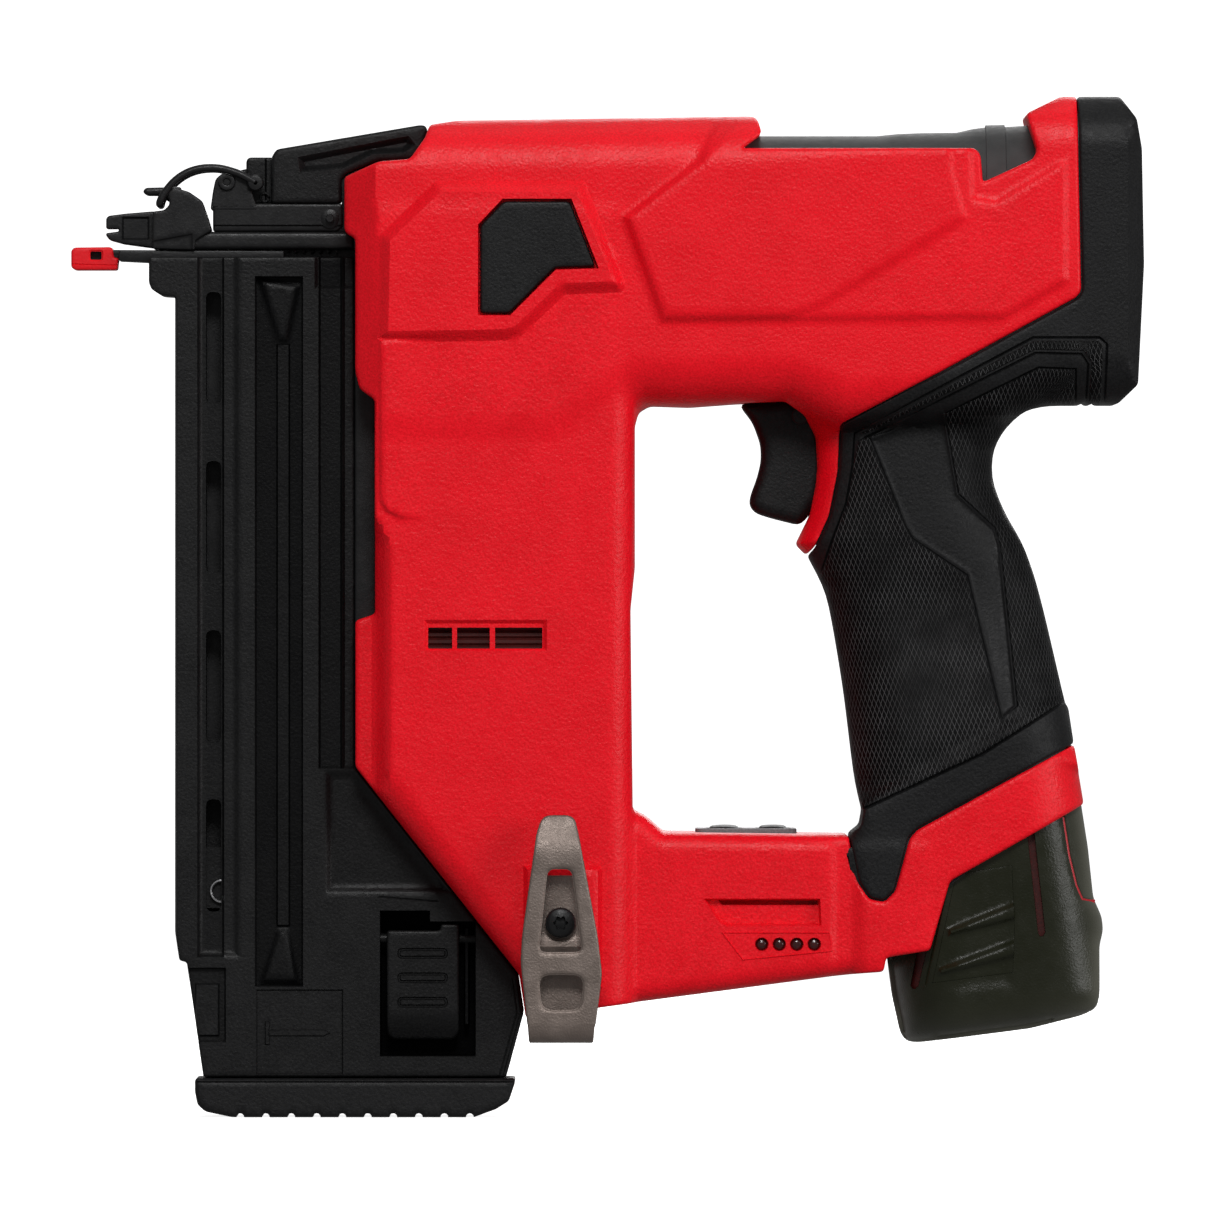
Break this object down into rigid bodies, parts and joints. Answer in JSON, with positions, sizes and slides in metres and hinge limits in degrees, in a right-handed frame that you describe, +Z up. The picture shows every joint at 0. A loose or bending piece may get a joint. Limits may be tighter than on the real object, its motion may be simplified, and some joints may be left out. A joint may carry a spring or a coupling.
{
  "type": "cordless brad nailer",
  "caption": "Cordless brad nailer with pistol grip, slide-in battery, sliding magazine, sprung contact foot, flip-up jam door, belt hook and a geared lifter that resets the air-sprung driver.",
  "frame": {"origin": "centre of the flat underside of the magazine foot, on the tool mid plane", "axes": "+X from the nose towards the battery, +Y towards the right half housing, +Z up along the magazine"},
  "size_m": [0.246, 0.0704, 0.234],
  "materials": {
    "red_housing": "fine satin texture",
    "grip_rubber": "textured matt",
    "black_plastic": "satin",
    "black_rubber": "matt",
    "red_rubber": "satin",
    "black_steel": "black oxide",
    "bright_steel": "bright",
    "hook_steel": "bead blasted",
    "aluminium": "machined",
    "tank_coating": "satin",
    "brass": "machined",
    "motor_windings": "varnished",
    "circuit_board": "satin",
    "panel_label": "satin",
    "gauge_lens": "glossy",
    "battery_smoke": "glossy, smoked"
  },
  "bodies": {
    "tool": {"housing_left": "red_housing", "housing_right": "red_housing", "grip_left": "grip_rubber", "grip_right": "grip_rubber", "side_pad_left": "black_plastic", "side_pad_right": "black_plastic", "housing_screw_1": "black_steel", "housing_screw_2": "black_steel", "housing_screw_3": "black_steel", "housing_screw_4": "black_steel", "housing_screw_5": "black_steel", "cylinder_tank": "tank_coating", "cylinder_liner": "aluminium", "piston_bumper": "black_rubber", "fill_valve": "brass", "drive_frame": "aluminium", "lifter_bearing_lower": "bright_steel", "lifter_bearing_upper": "bright_steel", "ring_gear": "black_steel", "motor_stator": "motor_windings", "motor_end_cap": "aluminium", "nose_body": "black_steel", "magazine_rail": "black_steel", "switch_module": "black_plastic", "control_board": "circuit_board", "terminal_block": "black_plastic", "button_panel": "panel_label", "fuel_gauge": "gauge_lens", "belt_hook": "hook_steel", "hook_screw": "black_steel", "contact_spring": "bright_steel", "trigger_spring": "bright_steel"},
    "driver": {"driver_blade": "bright_steel", "piston": "aluminium", "piston_seal": "black_rubber"},
    "lifter": {"lifter_wheel": "bright_steel"},
    "planet_1": {"planet_gear_1": "bright_steel"},
    "planet_2": {"planet_gear_2": "bright_steel"},
    "planet_3": {"planet_gear_3": "bright_steel"},
    "rotor": {"motor_rotor": "bright_steel", "cooling_fan": "black_plastic"},
    "door": {"nose_door": "black_steel", "lever_pin": "bright_steel"},
    "lever": {"latch_lever": "black_plastic"},
    "bail": {"bail": "black_steel"},
    "contact_foot": {"contact_arm": "black_steel", "no_mar_tip": "red_rubber"},
    "magazine": {"magazine_body": "black_plastic", "foot_bumper": "black_rubber", "latch_spring": "bright_steel", "spring_band": "bright_steel"},
    "magazine_latch": {"magazine_latch": "black_plastic"},
    "pusher": {"pusher": "black_plastic", "spring_roll": "bright_steel"},
    "trigger": {"trigger": "black_plastic"},
    "mode_button": {"mode_button": "black_rubber"},
    "light_button": {"light_button": "black_rubber"},
    "battery": {"battery_case": "battery_smoke"},
    "clip_left": {"battery_clip_left": "battery_smoke"},
    "clip_right": {"battery_clip_right": "battery_smoke"}
  },
  "joints": [
    {"name": "lifter_spin", "type": "hinge", "parent": "tool", "child": "lifter", "pos_m": [0.036, 0.0129, 0.203], "axis": [0, 0, -1], "range_deg": [0, 322.2]},
    {"name": "driver_slide", "type": "slide", "parent": "tool", "child": "driver", "axis": [-1, 0, 0], "range_m": [0, 0.0506]},
    {"name": "rotor_spin", "type": "hinge", "parent": "tool", "child": "rotor", "pos_m": [0.036, 0.0129, 0.13], "axis": [0, 0, -1], "range_deg": [0, 1289]},
    {"name": "planet_1_spin", "type": "hinge", "parent": "lifter", "child": "planet_1", "pos_m": [0.0432, 0.0129, 0.1555], "axis": [0, 0, -1], "range_deg": [-967, 0]},
    {"name": "planet_2_spin", "type": "hinge", "parent": "lifter", "child": "planet_2", "pos_m": [0.0324, 0.01913, 0.1555], "axis": [0, 0, -1], "range_deg": [-967, 0]},
    {"name": "planet_3_spin", "type": "hinge", "parent": "lifter", "child": "planet_3", "pos_m": [0.0324, 0.00666, 0.1555], "axis": [0, 0, -1], "range_deg": [-967, 0]},
    {"name": "lever_flip", "type": "hinge", "parent": "door", "child": "lever", "pos_m": [-0.0282, 0, 0.2147], "axis": [0, -1, 0], "range_deg": [0, 95]},
    {"name": "door_open", "type": "hinge", "parent": "tool", "child": "door", "pos_m": [-0.0045, 0, 0.2063], "axis": [0, 1, 0], "range_deg": [0, 35]},
    {"name": "bail_swing", "type": "hinge", "parent": "lever", "child": "bail", "pos_m": [-0.0216, 0, 0.2145], "axis": [0, 1, 0], "range_deg": [0, 100]},
    {"name": "contact_slide", "type": "slide", "parent": "tool", "child": "contact_foot", "axis": [1, 0, 0], "range_m": [0, 0.0065], "stiffness_N_per_m": 400, "springref_m": -0.01, "deforming": ["contact_spring"]},
    {"name": "trigger_pull", "type": "hinge", "parent": "tool", "child": "trigger", "pos_m": [0.1035, 0, 0.161], "axis": [0, -1, 0], "range_deg": [0, 9], "stiffness_Nm_per_rad": 0.4, "springref_deg": -11.46, "deforming": ["trigger_spring"]},
    {"name": "mode_press", "type": "slide", "parent": "tool", "child": "mode_button", "axis": [0, 0, -1], "range_m": [0, 0.0008], "stiffness_N_per_m": 1500, "springref_m": -0.0005},
    {"name": "light_press", "type": "slide", "parent": "tool", "child": "light_button", "axis": [0, 0, -1], "range_m": [0, 0.0008], "stiffness_N_per_m": 1500, "springref_m": -0.0005},
    {"name": "magazine_slide", "type": "slide", "parent": "tool", "child": "magazine", "axis": [0, 0, -1], "range_m": [0, 0.12]},
    {"name": "latch_press", "type": "hinge", "parent": "magazine", "child": "magazine_latch", "pos_m": [0.017, -0.0086, 0.041], "axis": [1, 0, 0], "range_deg": [0, 7], "stiffness_Nm_per_rad": 0.3, "springref_deg": -5.73, "deforming": ["latch_spring"]},
    {"name": "pusher_slide", "type": "slide", "parent": "magazine", "child": "pusher", "axis": [0, 0, 1], "range_m": [0, 0.115], "deforming": ["spring_band"]},
    {"name": "battery_pull", "type": "slide", "parent": "tool", "child": "battery", "axis": [0.1736, 0, -0.9848], "range_m": [0, 0.08]},
    {"name": "clip_left_press", "type": "hinge", "parent": "battery", "child": "clip_left", "pos_m": [0.14886, -0.0206, 0.03521], "axis": [-0.9848, 0, -0.1736], "range_deg": [0, 2], "stiffness_Nm_per_rad": 0.5, "springref_deg": -2.86},
    {"name": "clip_right_press", "type": "hinge", "parent": "battery", "child": "clip_right", "pos_m": [0.14886, 0.0206, 0.03521], "axis": [0.9848, 0, 0.1736], "range_deg": [0, 2], "stiffness_Nm_per_rad": 0.5, "springref_deg": -2.86}
  ],
  "couplings": [
    {"joint": "lifter_spin", "follows": "driver_slide", "rad_per_m": 111.11},
    {"joint": "rotor_spin", "follows": "driver_slide", "rad_per_m": 444.44},
    {"joint": "planet_1_spin", "follows": "driver_slide", "rad_per_m": -333.33},
    {"joint": "planet_2_spin", "follows": "driver_slide", "rad_per_m": -333.33},
    {"joint": "planet_3_spin", "follows": "driver_slide", "rad_per_m": -333.33},
    {"joint": "door_open", "follows": "lever_flip", "ratio": 0.368},
    {"joint": "bail_swing", "follows": "lever_flip", "ratio": 1.05}
  ]
}
